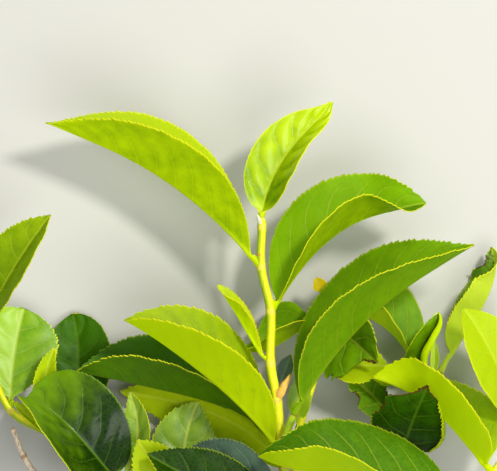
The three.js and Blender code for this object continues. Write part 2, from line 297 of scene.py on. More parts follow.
# Each finish has an upper side, an underside and a rim.
leafFinishes = {
    "young": {
        "upper": {"Bright": "c4d800", "Deep": "88ac00", "Vein": "dce640", "Gloss": 0.45},
        "under": {"Bright": "e2f600", "Deep": "8cb800", "Vein": "e6f218"},
        "rim": {"Bright": "f0f030", "Deep": "dcdc10"},
        "shine": 0.2, "through": 0.6,
    },
    "shiny": {
        "upper": {"Bright": "c8e000", "Deep": "6c9c00", "Vein": "d8e430", "Gloss": 0.3,
                  "Vein Strength": 0.12},
        "under": {"Bright": "c8dc00", "Deep": "84a800", "Vein": "dce628"},
        "rim": {"Bright": "f0f030", "Deep": "dcdc10"},
        "coat": 0.5, "coatGloss": 0.12, "shine": 0.2, "through": 0.4,
    },
    "fresh": {
        "upper": {"Bright": "88b800", "Deep": "4c8000", "Vein": "b8c838", "Gloss": 0.42, "Rim": "bccc24",
                  "Vein Strength": 0.5, "Netting": 0.15},
        "under": {"Bright": "86b400", "Deep": "548800", "Vein": "a4b61b", "Rim": "c0cc2c"},
        "rim": {"Bright": "acb81c", "Deep": "94a408"},
        "shine": 0.12, "through": 0.45,
    },
    "glossy": {
        "upper": {"Bright": "a4cc10", "Deep": "4c8c00", "Vein": "c0d440", "Gloss": 0.4},
        "under": {"Bright": "86b400", "Deep": "548800", "Vein": "a4b61c"},
        "rim": {"Bright": "c4c81c", "Deep": "a0ac06"},
        "coat": 0.5, "coatGloss": 0.35, "shine": 0.2, "through": 0.4,
    },
    "mature": {
        "upper": {"Bright": "417600", "Deep": "173700", "Vein": "688c14", "Rim": "94a81c", "Gloss": 0.36,
                  "Midrib Strength": 0.35},
        "under": {"Bright": "578800", "Deep": "335e00", "Vein": "7a9a1b", "Gloss": 0.48, "Rim": "b8c428"},
        "rim": {"Bright": "8c9814", "Deep": "708006"},
        "shine": 0.12, "through": 0.3,
    },
    "ripe": {
        "upper": {"Bright": "f0dc00", "Deep": "d8a800", "Vein": "e8d840", "Gloss": 0.5},
        "under": {"Bright": "f0dc00", "Deep": "d8a800", "Vein": "e8d840"},
        "rim": {"Bright": "e8c020", "Deep": "c08c10"},
        "shine": 0.12, "through": 0.5,
    },
    "blushed": {
        "upper": {"Bright": "c4d800", "Deep": "88ac00", "Vein": "dce640", "Gloss": 0.45, "Rim": "e08c34"},
        "under": {"Bright": "e2f600", "Deep": "8cb800", "Vein": "e6f218", "Rim": "e08c34"},
        "rim": {"Bright": "e49438", "Deep": "e08c28"},
        "shine": 0.25, "through": 0.5,
    },
    "glazed": {
        "upper": {"Bright": "74a000", "Deep": "102e00", "Vein": "5e8414", "Rim": "668a10", "Gloss": 0.3},
        "under": {"Bright": "578800", "Deep": "335e00", "Vein": "7a9a1b", "Gloss": 0.48},
        "rim": {"Bright": "8c9610", "Deep": "657607"},
        "coat": 0.18, "coatGloss": 0.16, "shine": 0.2, "through": 0.25,
    },
    # bluish grey-green colours: the leaf's green with a painted bluish sheen of reflected sky and painted
    # shade
    "grey": {
        "upper": {"Bright": "506f57", "Deep": "253e2e", "Vein": "768f73", "Rim": "7c8c50", "Gloss": 0.35},
        "under": {"Bright": "5e7a45", "Deep": "395333", "Vein": "849a65", "Gloss": 0.45},
        "rim": {"Bright": "a1a43e", "Deep": "7d8c30"},
        "coat": 0.2, "shine": 0.5, "through": 0.15,
    },
    "pale": {
        "upper": {"Bright": "c8e43c", "Deep": "74a428", "Vein": "e4ec70", "Gloss": 0.45},
        "under": {"Bright": "d8e83c", "Deep": "90b428", "Vein": "e4ec60"},
        "rim": {"Bright": "f0ec60", "Deep": "d0d440"},
        "coat": 0.4, "shine": 0.3, "through": 0.5,
    },
}
sideLooks = {
    "upper": {},
    "under": {"Gloss": 0.5, "Vein Strength": 0.45, "Midrib Strength": 0.75},  # raised veins
    "rim": {"Gloss": 0.5},
}
backShine = 0.12  # of undersides and rims
leafMaterials = {}
for finish, looks in leafFinishes.items():
    for side, sideLook in sideLooks.items():
        facing = side == "upper"
        leafMaterials[finish, side] = skinMaterial(
            finish + side.capitalize(), leafSkin, {**sideLook, **looks[side]}, through=looks["through"],
            coat=looks.get("coat", 0.0) if facing else 0.0, coatGloss=looks.get("coatGloss", 0.3),
            shine=looks["shine"] if facing else backShine)
print("leaf materials made")


# Stems. Each internode is (length, heading, lift), and a stem starts at a node of another.

stems = {
    "woody_branch": {"radii": (0.0036, 0.0023), "internodes": (
        (0.014, 96, 34), (0.009, 95, 30), (0.008, 94, 26), (0.008, 94, 24), (0.017, 94, 20))},
    "main_stem": {"on": ("woody_branch", 5), "radii": (0.002, 0.0014), "internodes": (
        (0.008, 98, 2), (0.006, 98, 0), (0.003, 98, 0), (0.0183, 95, 0), (0.0135, 100, 0),
        (0.0188, 90, 0), (0.0163, 102, 0), (0.0144, 89, 0), (0.0036, 92, 0)),
        "scars": ((0.0375, 0.004, 140), (0.0885, 0.0008, 30))},
    "second_stem": {"on": ("woody_branch", 4), "radii": (0.0018, 0.0014), "internodes": (
        (0.009, 92, 52), (0.022, 96, 10.5), (0.011, 88, 2), (0.0085, 70, 0))},
    "back_stem": {"on": ("woody_branch", 3), "radii": (0.0019, 0.0011), "internodes": (
        (0.01, 88, -3), (0.036, 87, -7), (0.0253, 75, 0), (0.0181, 83, 0), (0.0062, 81, 0))},
    "right_stem": {"on": ("woody_branch", 1), "radii": (0.0021, 0.001), "internodes": (
        (0.03, 36, 7.5), (0.02, 50, 0), (0.018, 85, -14), (0.0108, 90, -6),
        (0.015, 62, 0), (0.0065, 60, 0), (0.005, 40, 0))},
    "right_side_stem": {"on": ("right_stem", 2), "radii": (0.0017, 0.0012), "internodes": (
        (0.03, 2, 40), (0.019, 50, -23), (0.017, 60, -15))},
    "left_stem": {"on": ("woody_branch", 2), "radii": (0.0021, 0.0011), "internodes": (
        (0.0429, 147, -2), (0.03, 156, 0), (0.0275, 144, 0), (0.0197, 150, 0), (0.03, 111, 0))},
    "dead_twig": {"on": ("left_stem", 2), "radii": (0.0014, 0.0009), "internodes": (
        (0.0285, 176, 8), (0.01, 128, 10), (0.011, 112, 5))},
}


def nodesOf(name):
    stem = stems[name]
    points = [nodesOf(stem["on"][0])[stem["on"][1]] if "on" in stem else cutEnd]
    for length, heading, lift in stem["internodes"]:
        points.append(points[-1] + length * direction(heading, lift))
    return np.array(points)


def stemLine(name, perInternode):  # the smooth line through a stem's nodes, and each point's share of it
    nodes = nodesOf(name)
    padded = np.vstack([2 * nodes[0] - nodes[1], nodes, 2 * nodes[-1] - nodes[-2]])
    points, shares = [], []
    for i in range(len(nodes) - 1):
        before, start, end, after = padded[i:i + 4]
        t0, t1, t2 = np.linalg.norm(np.diff(padded[i:i + 4], axis=0), axis=1) ** 0.5
        leave = t1 * ((start - before) / t0 - (end - before) / (t0 + t1) + (end - start) / t1)
        reach = t1 * ((end - start) / t1 - (after - start) / (t1 + t2) + (after - end) / t2)
        bend = -3 * start + 3 * end - 2 * leave - reach
        twist = 2 * start - 2 * end + leave + reach
        for t in np.arange(perInternode[i]) / perInternode[i]:
            points.append(start + leave * t + bend * t * t + twist * t ** 3)
            shares.append((i + t) / (len(nodes) - 1))
    return np.array(points + [nodes[-1]]), np.array(shares + [1.0])


stemForm = {
    "swelling": 0.16,  # at the nodes
    "tipReach": 1.6, "tipNarrowing": 0.4,  # the reach is in radii
    "ribs": 5, "ribTwist": 3, "ribHeight": 0.025, "unevenWaves": 900, "unevenness": 0.02,
    "cracks": 9, "winding": 5, "windingWaves": 320, "knobWaves": 700,  # bark only
    "scarStrength": 0.8, "scarSide": (-0.2, 0.8), "creaseAngle": 50,
}


def buildStem(node, look):
    stem = stems[node]
    steps = [max(4, round(length / look["ringSpacing"])) for length, _, _ in stem["internodes"]]
    line, shares = stemLine(node, steps)
    piece, around, along = addGrid(node, look["sides"], len(line) - 1)
    ring = np.rint((along + 1) / 2 * (len(line) - 1)).astype(int)
    tangent = unit(np.gradient(line, axis=0))
    sideWay = unit(np.cross(up, tangent))
    topWay = np.cross(tangent, sideWay)
    travelled = np.concatenate([[0], np.cumsum(np.linalg.norm(np.diff(line, axis=0), axis=1))])
    atNodes = travelled[np.concatenate([[0], np.cumsum(steps)])]
    nearNode = np.exp(-(np.abs(travelled[:, None] - atNodes[None]).min(1) / look["nodeReach"]) ** 2)[ring]
    toTip = travelled[-1] - travelled[ring]
    travelled = travelled[ring]
    turn = np.pi * (around + 1)
    radius = mix(stem["radii"], shares)[ring] * (1 + stemForm["swelling"] * nearNode)
    nearTip = np.clip(1 - toTip / (stemForm["tipReach"] * stem["radii"][1]), 0, 1)
    radius = radius * (1 - stemForm["tipNarrowing"] * nearTip ** 2)
    ridges = stemForm["ribHeight"] * np.cos(stemForm["ribs"] * turn + stemForm["ribTwist"] * shares[ring])
    ridges = ridges + stemForm["unevenness"] * ripple(travelled * stemForm["unevenWaves"], len(node))
    if look["bark"]:  # lengthwise cracks and knobs
        winding = ripple(travelled * stemForm["windingWaves"], 4)
        cracks = ripple(stemForm["cracks"] * turn + stemForm["winding"] * winding, 8)
        knobs = ripple(travelled * stemForm["knobWaves"] + 2 * turn, 9)
        ridges = ridges + look["bark"] * (cracks * knobs)
    radius = radius * (1 + ridges)
    places = line[ring] + radius[:, None] * (
        np.cos(turn)[:, None] * sideWay[ring] + np.sin(turn)[:, None] * topWay[ring])
    setPlaces(piece, places)
    addAttribute(piece, "stem", np.stack([travelled, turn / (2 * np.pi), nearNode], -1))
    scars = np.zeros(len(ring))
    for centre, reach, towards in stem.get("scars", ()):  # where old scales dried on, and on which side
        near = np.exp(-((travelled - centre) / reach) ** 2)
        facing = smooth(np.cos(turn - np.radians(towards)), *stemForm["scarSide"])
        scars = np.maximum(scars, stemForm["scarStrength"] * near * facing)
    addAttribute(piece, "scar", scars)
    setUnwrap(piece, np.stack([travelled, turn * radius.mean()], -1) * unwrapScale)
    piece.data.materials.append(look["material"])
    closeSeam()
    settle(piece, node)
    bpy.ops.object.shade_smooth_by_angle(angle=np.radians(stemForm["creaseAngle"]))


# Stem skin: lengthwise streaks, paler nodes, flecks, painted shade on the left side that grows towards the
# tip, and the marks of old scales.
# It reads the attributes stem (metres along, share of a turn, nearness to a node) and scar.
stemInputs = {
    "Skin": "cdcd1b", "Shade": "9dab0c", "Node": "cbbd41", "Fleck": "d6d27d", "Scar": "c07830",
    "Gloss": 0.42, "Streaks": 0.5, "Side": 0.0, "Tip": 0.0,
}
stemPattern = {
    "streak": (3.0, 4.0), "fleck": (1600.0, 1.0), "scar": (1500.0, 2.0),  # scale and detail
    "stretch": 180.0, "streakFrom": (0.42, 0.68), "fleckFrom": (0.66, 0.74), "fleckStrength": 0.35,
    "tipFrom": (0.045, 0.08), "nodeFrom": (0.95, 1.5), "sideFrom": (-0.5, 0.9), "scarFrom": (1.0, 1.3),
    "roughStreak": 0.2, "fleckRise": 0.3, "fullTurn": 6.28318,
}
stemSkin, given, made = newGroup("stemSkin", stemInputs)
travelled, turned, nearNode = readParts(readAttribute(stemSkin, "stem")["Vector"])
angle = maths("MULTIPLY", turned, stemPattern["fullTurn"])
leftward = maths("COSINE", angle)
stretched = addNode("CombineXYZ", angle)
feed(stretched.inputs[0], maths("MULTIPLY", travelled, stemPattern["stretch"]))
feed(stretched.inputs[1], maths("SINE", angle))
feed(stretched.inputs[2], leftward)
streak = noiseAt(stretched.outputs[0], *stemPattern["streak"])
place = stemSkin.nodes.new("ShaderNodeTexCoord").outputs["Object"]
fleck = ramp(noiseAt(place, *stemPattern["fleck"]), *stemPattern["fleckFrom"])
streaksAndPaintedShade = maths("MULTIPLY", ramp(streak, *stemPattern["streakFrom"]), given["Streaks"])
# painted shade: the left side of the stem is darkened, more so towards its tip
tipwardPaintedShade = ramp(travelled, *stemPattern["tipFrom"], 0.0, given["Tip"])
side = maths("ADD", given["Side"], tipwardPaintedShade)
side = maths("MULTIPLY", ramp(leftward, *stemPattern["sideFrom"]), side)
streaksAndPaintedShade = maths("MINIMUM", maths("ADD", streaksAndPaintedShade, side), 1.0)
skin = blend(streaksAndPaintedShade, given["Skin"], given["Shade"])
nodeShare = ramp(maths("ADD", nearNode, streak), *stemPattern["nodeFrom"])
skin = blend(nodeShare, skin, given["Node"])
fleckShare = maths("MULTIPLY", fleck, stemPattern["fleckStrength"])
skin = blend(fleckShare, skin, given["Fleck"])
scar = noiseAt(place, *stemPattern["scar"])
scar = maths("ADD", readAttribute(stemSkin, "scar")["Fac"], scar)
skin = blend(ramp(scar, *stemPattern["scarFrom"]), skin, given["Scar"])
feed(made["Color"], skin)
rough = maths("MULTIPLY", streak, stemPattern["roughStreak"])
feed(made["Roughness"], maths("ADD", given["Gloss"], rough))
risen = maths("MULTIPLY", fleck, stemPattern["fleckRise"])
feed(made["Height"], maths("ADD", streak, risen))

# the side and tip values here set the painted shade on the stem's left side
greenSkin = skinMaterial("greenStem", stemSkin, {
    "Skin": "dcd60e", "Shade": "94ac08", "Side": 0.35, "Tip": 0.9, "Streaks": 0.35}, shine=0.3)
# a darker copy of the green stem skin, painted shade for the second and right stems
paintedShadeStemSkin = skinMaterial("paintedShadeStem", stemSkin, {
    "Skin": "90ac08", "Shade": "587c04", "Node": "a09c20", "Fleck": "a8b450", "Gloss": 0.5, "Streaks": 0.7},
    shine=0.25)
barkSkin = skinMaterial("bark", stemSkin, {
    "Skin": "786345", "Shade": "413220", "Node": "5c472e", "Fleck": "a19373", "Gloss": 0.7, "Streaks": 1.0},
    relief=0.0006)
drySkin = skinMaterial("dryWood", stemSkin, {
    "Skin": "dccbb4", "Shade": "9c8068", "Node": "a87c58", "Fleck": "e4dccc", "Gloss": 0.7, "Streaks": 0.9},
    relief=0.0004)

greenLook = {"sides": 20, "ringSpacing": 0.0008, "nodeReach": 0.0016, "bark": 0, "material": greenSkin,
             "slot": "green_stem"}
paintedShadeStemLook = {**greenLook, "material": paintedShadeStemSkin}
woodyLook = {"sides": 48, "ringSpacing": 0.0005, "nodeReach": 0.002, "bark": 0.09, "material": barkSkin,
             "slot": "woody_stem"}
dryLook = {"sides": 24, "ringSpacing": 0.0005, "nodeReach": 0.0012, "bark": 0.12, "material": drySkin,
           "slot": "dead_wood"}

buildStem("woody_branch", woodyLook)
buildStem("main_stem", greenLook)
buildStem("second_stem", paintedShadeStemLook)
buildStem("back_stem", greenLook)
buildStem("right_stem", paintedShadeStemLook)
buildStem("right_side_stem", greenLook)
buildStem("left_stem", greenLook)
buildStem("dead_twig", dryLook)
print("stems built")


# Leaves. Each is a fold of two halves about a midrib that starts at a stem's node. Headings, lifts, folds
# and rolls are degrees at the stem and the tip, or at the stem, the middle and the tip. Across is -1 at
# the right margin, 0 on the midrib and 1 at the left margin, looking towards the tip.

plainLeaf = {  # what each leaf has unless its own dictionary says otherwise
    "taper": (0.95, 0.9), "petiole": 0.004, "stalk": 1.0, "tipTurn": 0, "lift": 0, "roll": 0, "tipRoll": 0,
    # the per-half values and the quilt values paint light and shade into the colour: a half made lighter or
    # darker, and lighter between veins, darker along them
    "paintedHalfLighting": (0, 0), "ripples": 0.12, "bulge": 0.00025, "teeth": 1.0, "toothPitch": 0.0015,
    "bites": (),  # place along the blade, side, depth, reach
    "dry": (),  # from, to, side, strength
}
blade = {
    "columns": 30, "rowSpacing": 0.00034, "crowding": 0.7,  # columns crowd at the rib and the margin
    "lineSteps": 960, "lineLag": 1 / 96, "tipFrom": 0.7, "tipHalfWidth": 0.0002, "curl": 0.12,
    "foldRadius": 0.0007, "foldRound": 0.3, "steepestFold": 0.8, "cadThickness": 0.0005,
    "thickness": 0.00032, "ribThickness": 0.0008, "ribHalfWidth": 0.00055, "ribFade": 0.85,
    "ribSoftness": 0.06, "rolledFrom": (0.1, 0.3), "toneWaves": 7, "toneDepth": 0.1,
    "lowest": 0.0006,  # clear of the floor
}
petiole = {
    "radius": 0.0011, "least": 0.45, "fullHalfWidth": 0.035, "flare": 0.35, "flareReach": (0.0005, 0.005),
    "thickness": 0.0026, "thickReach": 0.006, "closeReach": 0.0025,
    "core": 0.35,  # share of the radius inside its wall
}
chewed = {
    "nibble": 0.0009, "nibbleWaves": 1700, "least": 0.04, "wholeFrom": (0.9, 0.99),
    "witherFrom": (0.03, 0.12), "driedReach": (0.0004, 0.0018), "dryEnd": 0.05,
}
veins = {
    "spacing": 0.0085, "lean": 0.7, "wander": 0.12, "wanderWaves": 9, "ribClear": (0.04, 0.25),
    # the last value here ends the painted quilt light and shade short of the margin
    "crest": 0.7, "trough": 0.6, "bulgeFrom": (0.02, 0.15), "bulgeTo": 0.55, "paintedQuiltShadeTo": 0.5,
    "wave": 0.00025, "waves": 420, "waveFrom": (0.05, 0.25),
    "smallLeaf": 0.012,  # narrower leaves are smoother
}
teeth = {
    "depth": 0.0008, "uneven": 0.6, "unevenWaves": 300, "from": (0.06, 0.16), "to": (0.95, 0.995),
    "edge": 0.86, "hook": 1.3, "inward": 0.35, "forward": 0.5, "smallLeaf": 0.008,
}


def outline(share, tapers):  # half width at a share of the blade's length, as a share of the widest
    toBase, toTip = tapers
    widest = toBase / (toBase + toTip)
    return (share ** toBase * (1 - share) ** toTip) / (widest ** toBase * (1 - widest) ** toTip)


def course(leaf, share):  # which way the midrib runs at a share of the leaf's length
    heading = mix(leaf["heading"], share) + leaf["tipTurn"] * smooth(share, blade["tipFrom"], 1)
    return direction(heading, mix(leaf["lift"], share))


def midribLine(leaf, base, share):
    steps = blade["lineSteps"]
    middles = (np.arange(steps) + 0.5) / steps - blade["lineLag"]
    moves = course(leaf, middles) * leaf["length"] / steps
    line = np.vstack([base, base + np.cumsum(moves, axis=0)])
    at = np.linspace(0, 1, steps + 1)
    return np.stack([np.interp(share, at, line[:, i]) for i in range(3)], -1)


def buildLeaf(node, leaf):
    leaf = {**plainLeaf, **leaf}
    length, halfWidth, seed = leaf["length"], leaf["halfWidth"], sum(map(ord, node))
    base = nodesOf(leaf["on"][0])[leaf["on"][1]]
    piece, column, row = addGrid(node, blade["columns"], round(length / blade["rowSpacing"]))
    share = (row + 1) / 2
    fromStem = share * length
    spread = np.abs(column)
    crowded = spread - blade["crowding"] * np.sin(2 * np.pi * spread) / (2 * np.pi)
    across = -np.sign(column) * crowded
    petioleShare = leaf["petiole"] / length
    petioleEnd = petioleShare * length
    onBlade = np.clip((share - petioleShare) / (1 - petioleShare), 0, 1)
    width = halfWidth * outline(onBlade, leaf["taper"])
    least = np.where(share < 0.5, petiole["radius"], blade["tipHalfWidth"])
    half = (width ** 4 + least ** 4) ** 0.25
    thickening = 1 - smooth(fromStem, 0.5 * petioleEnd, petioleEnd + petiole["thickReach"])
    closing = 1 - smooth(fromStem, 0.6 * petioleEnd, petioleEnd + petiole["closeReach"])  # into a tube
    stalk = petiole["radius"] * min(1, petiole["least"] + halfWidth / petiole["fullHalfWidth"])
    flare = 1 + petiole["flare"] * (1 - smooth(fromStem, *petiole["flareReach"]))  # wider at the stem
    stalk = leaf["stalk"] * stalk * flare
    cadThickness = mix((blade["cadThickness"], 0.8 * petiole["thickness"]), thickening)
    steepest = np.arctan(blade["steepestFold"] * half / cadThickness)
    fold = np.minimum(np.radians(mix(leaf["fold"], share)), steepest)

    # Chewed places draw the margin in, and dry out along the new edge
    kept = np.ones_like(share)
    nibbles = chewed["nibble"] / half * ripple(onBlade * length * chewed["nibbleWaves"], seed + 5)
    for centre, side, depth, reach in leaf["bites"]:
        bitten = (depth + nibbles) * np.exp(-((onBlade - centre) / reach) ** 4) * (across * side > 0)
        kept = np.minimum(kept, 1 - bitten)
    fromEdge = (1 - spread) * half * kept
    wither = smooth(1 - kept, *chewed["witherFrom"]) * (1 - smooth(fromEdge, *chewed["driedReach"]))
    for low, high, side, strength in leaf["dry"]:
        dried = smooth(onBlade, low, low + chewed["dryEnd"])
        dried = dried * (1 - smooth(onBlade, high - chewed["dryEnd"], high))
        wither = np.maximum(wither, strength * dried * (across * side >= 0))
    whole = smooth(kept, *chewed["wholeFrom"])
    margin = np.maximum(kept, chewed["least"])
    across = across * margin
    spread = np.abs(across)

    # Veins leave the midrib at about 55 degrees and bow towards the tip
    pairs = max(3, round(length / veins["spacing"]))
    lean = veins["lean"] * halfWidth / length * (0.75 * spread + 0.5 * spread ** 3)
    wander = veins["wander"] * ripple(onBlade * veins["wanderWaves"], seed + 1)
    between = pairs * (onBlade - lean) + 0.5 * (across > 0) + wander
    midway = np.abs(np.sin(np.pi * between)) ** veins["crest"] - veins["trough"]
    fromRib = smooth(spread, *veins["ribClear"])
    quilting = leaf["bulge"] * midway * fromRib
    quilting = quilting * (1 - smooth(spread, veins["bulgeTo"], 1)) * smooth(onBlade, *veins["bulgeFrom"])
    quilting = quilting * min(1, halfWidth / veins["smallLeaf"])
    waving = veins["wave"] * spread ** 2 * smooth(onBlade, *veins["waveFrom"])
    wavePlace = onBlade * length * veins["waves"] + 2 * np.sign(across)
    waving = waving * ripple(wavePlace, seed + 2, (1.0, 1.7))
    uneven = teeth["uneven"] * ripple(fromStem * teeth["unevenWaves"], seed + 3)
    toothPlace = fromStem / leaf["toothPitch"] + uneven
    tooth = np.mod(toothPlace, 1.0) ** teeth["hook"] - teeth["inward"]
    toothed = smooth(onBlade, *teeth["from"]) * (1 - smooth(onBlade, *teeth["to"]))
    toothed = toothed * min(1, halfWidth / teeth["smallLeaf"])
    edge = smooth(np.abs(spread / margin), teeth["edge"], 1.0)
    tooth = tooth * toothed * edge * teeth["depth"] * leaf["teeth"] * whole

    # Place of each vertex
    point = midribLine(leaf, base, share)
    tangent = course(leaf, share)
    level = unit(up - tangent * tangent[:, 2:3])
    left = np.cross(level, tangent)
    roll = mix(leaf["roll"], share) + leaf["tipRoll"] * smooth(share, blade["tipFrom"], 1)
    roll = np.radians(roll)[:, None]
    openWay = level * np.cos(roll) + left * np.sin(roll)
    sideWay = left * np.cos(roll) - level * np.sin(roll)
    softness = np.minimum(blade["foldRound"], blade["foldRadius"] / half)
    softSpread = np.sqrt(spread ** 2 + softness ** 2) - softness
    rise = half * (softSpread * np.sin(fold) - blade["curl"] * spread ** 2)
    sign = np.tanh(across / blade["ribSoftness"])
    faceWay = openWay * np.cos(fold)[:, None] - sideWay * (sign * np.sin(fold))[:, None]
    outWay = sideWay * (np.sign(across) * np.cos(fold))[:, None] + openWay * np.sin(fold)[:, None]
    toothWay = outWay + teeth["forward"] * tangent
    places = point + sideWay * (across * half * np.cos(fold))[:, None] + openWay * rise[:, None]
    places = places + faceWay * (quilting + waving)[:, None] + toothWay * tooth[:, None]
    if "rolled" in leaf:  # (side, share of the half that rolls over, turn)
        side, part, turn = leaf["rolled"]
        rolling = np.clip((spread - 1 + part) / part, 0, 1) * (across * side > 0)
        rolling = rolling * smooth(onBlade, *blade["rolledFrom"])
        reach, turn = part * half, np.radians(turn)
        outward = reach * (np.sin(rolling * turn) / turn - rolling)
        inward = reach * (1 - np.cos(rolling * turn)) / turn
        places = places + outWay * outward[:, None] + faceWay * inward[:, None]
    turn = np.pi * across
    tube = sideWay * np.sin(turn)[:, None] - openWay * np.cos(turn)[:, None]
    places = places + (point + petiole["core"] * stalk[:, None] * tube - places) * closing[:, None]
    places[:, 2] = np.maximum(places[:, 2], blade["lowest"])
    setPlaces(piece, places)
    setUnwrap(piece, np.stack([fromStem * unwrapScale, 0.5 + across * half * unwrapScale], -1))

    # What the materials read
    tone = mix(leaf["tone"], onBlade)
    tone = tone + blade["toneDepth"] * ripple(onBlade * blade["toneWaves"] + 2 * across, seed + 4)
    # painted light on the bulges between the veins and painted shade along the veins
    tone = tone + leaf["ripples"] * midway * fromRib * (1 - smooth(spread, veins["paintedQuiltShadeTo"], 1))
    # painted light and shade per half: each half lightened or darkened by its own amount
    tone = tone + np.where(across > 0, *leaf["paintedHalfLighting"])
    tone = tone + (1.0 - tone) * thickening
    addAttribute(piece, "tone", tone)
    addAttribute(piece, "wither", wither)
    addAttribute(piece, "veins", np.stack([between, across / margin * whole, onBlade], -1))

    # Thickness: thin blade, rib under the midrib, round petiole
    finish = leaf["finish"]
    for side, sideFinish in (("upper", finish), ("under", leaf.get("under", finish)), ("rim", finish)):
        piece.data.materials.append(leafMaterials[sideFinish, side])
    rib = blade["ribThickness"] * (1 - blade["ribFade"] * onBlade) + 0.5 * stalk * thickening
    rib = rib * np.exp(-(spread * half / (blade["ribHalfWidth"] * (1 + thickening))) ** 2)
    thickness = blade["thickness"] + rib
    thickness = thickness + ((1 - petiole["core"]) * stalk - thickness) * closing
    group = piece.vertex_groups.new(name="thickness")
    for i, weight in enumerate(np.clip(thickness / petiole["thickness"], 0, 1)):
        group.add([i], weight, "REPLACE")
    closeSeam(capEnds=False)  # where the petiole's sides meet
    wall = piece.modifiers.new("wall", "SOLIDIFY")
    wall.thickness = petiole["thickness"]
    wall.offset = -1
    wall.vertex_group = "thickness"
    wall.material_offset = 1
    wall.material_offset_rim = 2
    bpy.ops.object.modifier_apply(modifier="wall")
    settle(piece, node)


# Leaves of the main stem
topLeaf = {
    "on": ("main_stem", 9), "length": 0.0496, "halfWidth": 0.0129, "taper": (0.64, 0.9), "petiole": 0.0015,
    "stalk": 1.05, "heading": (83, 54, 36), "tipTurn": 16, "fold": (38, 42, 47), "roll": (16, 29, 25),
    "tipRoll": -35, "finish": "shiny", "slot": "young", "tone": (0.3, 1.0), "paintedHalfLighting": (0, -0.1),
    "ripples": 0.3, "bulge": 0.0009, "teeth": 0.5, "toothPitch": 0.0013,
}
buildLeaf("top_leaf", topLeaf)

upperLeftLeaf = {
    "on": ("main_stem", 7), "length": 0.0947, "halfWidth": 0.0246, "taper": (1.12, 1.2), "petiole": 0.005,
    "heading": (129, 147, 168), "tipTurn": -8, "fold": (73, 55, 76), "roll": (-101, -83, -76),
    "finish": "young", "tone": (0.5, 0.65), "paintedHalfLighting": (0, 0.5), "ripples": 0.2,
}
buildLeaf("upper_left_leaf", upperLeftLeaf)

upperRightLeaf = {
    "on": ("main_stem", 6), "length": 0.0714, "halfWidth": 0.0218, "taper": (0.85, 0.81),
    "heading": (59, 36, -18), "tipTurn": 23, "fold": (40, 53, 50), "roll": (56, 62, 87), "tipRoll": -60,
    "finish": "fresh", "under": "young", "tone": (1.0, 0.7), "paintedHalfLighting": (0, -0.4), "toothPitch": 0.0017,
}
buildLeaf("upper_right_leaf", upperRightLeaf)

smallLeftLeaf = {
    "on": ("main_stem", 5), "length": 0.0342, "halfWidth": 0.0063, "taper": (1.19, 0.89), "petiole": 0.003,
    "heading": (131, 121, 137), "tipTurn": -10, "fold": (67, 57, 38), "roll": (-88, -84, -72),
    "tipRoll": 26, "finish": "blushed", "slot": "young", "tone": (0.8, 0.9),
}
buildLeaf("small_left_leaf", smallLeftLeaf)

axillaryLeaf = {
    "on": ("main_stem", 4), "length": 0.0195, "halfWidth": 0.004, "petiole": 0.002, "heading": (80, 66),
    "lift": (-50, 10), "fold": 30, "roll": 20, "finish": "grey", "tone": (0.5, 0.6),
}
buildLeaf("axillary_leaf", axillaryLeaf)

lowerLeftLeaf = {
    "on": ("main_stem", 3), "length": 0.0745, "halfWidth": 0.0246, "taper": (0.95, 0.85),
    "heading": (126, 141, 145), "tipTurn": 6, "lift": (10, 4, 0), "fold": (56, 53, 60),
    "roll": (-105, -81, -65), "finish": "young", "tone": (0.5, 0.7), "paintedHalfLighting": (0.35, 0), "ripples": 0.3,
    "toothPitch": 0.0024,
}
buildLeaf("lower_left_leaf", lowerLeftLeaf)

shadedLeftLeaf = {
    "on": ("main_stem", 2), "length": 0.0904, "halfWidth": 0.0234, "taper": (1.57, 0.98), "petiole": 0.006,
    "heading": (110, 165, 150), "tipTurn": 14, "lift": (-52, -4, 6), "fold": (49, 51, 64),
    "roll": (-74, -71, -71), "tipRoll": -8, "finish": "mature", "tone": (0.4, 0.8), "paintedHalfLighting": (0, 0.5),
    "toothPitch": 0.0018, "dry": ((-0.1, 0.06, 0, 0.45),),
}
buildLeaf("shaded_left_leaf", shadedLeftLeaf)

greyLeaf = {
    "on": ("main_stem", 1), "length": 0.044, "halfWidth": 0.0125, "heading": (178, 178, 194),
    "lift": (-18, -14), "fold": 12, "roll": -12, "finish": "grey", "tone": 0.5,
}
buildLeaf("grey_leaf", greyLeaf)

brightMidLeaf = {
    "on": ("main_stem", 1), "length": 0.076, "halfWidth": 0.011, "heading": (114, 157, 171),
    "lift": (-48, -16, -4), "fold": 10, "roll": 25, "finish": "young", "tone": (1.1, 1.3),
}
buildLeaf("bright_mid_leaf", brightMidLeaf)

darkFrontLeaf = {
    "on": ("main_stem", 0), "length": 0.054, "halfWidth": 0.013, "heading": (178, 162, 146), "lift": (6, 2),
    "fold": 35, "roll": -30, "finish": "mature", "tone": (-0.1, 0.2),
}
buildLeaf("dark_front_leaf", darkFrontLeaf)

# Leaf of the second stem
largeRightLeaf = {
    "on": ("second_stem", 4), "length": 0.0905, "halfWidth": 0.0258, "taper": (0.95, 1.11),
    "petiole": 0.005, "heading": (62, 42, 23), "tipTurn": 6, "fold": (71, 49, 66), "roll": (76, 78, 47),
    "finish": "fresh", "tone": (0.4, 0.8), "toothPitch": 0.0018,
}
buildLeaf("large_right_leaf", largeRightLeaf)

# Leaves of the back stem
ovalLeaf = {
    "on": ("back_stem", 2), "length": 0.022, "halfWidth": 0.0045, "heading": (90, 84), "lift": 10,
    "fold": 20, "finish": "glossy", "slot": "fresh", "tone": (0.8, 0.9),
}
buildLeaf("oval_leaf", ovalLeaf)

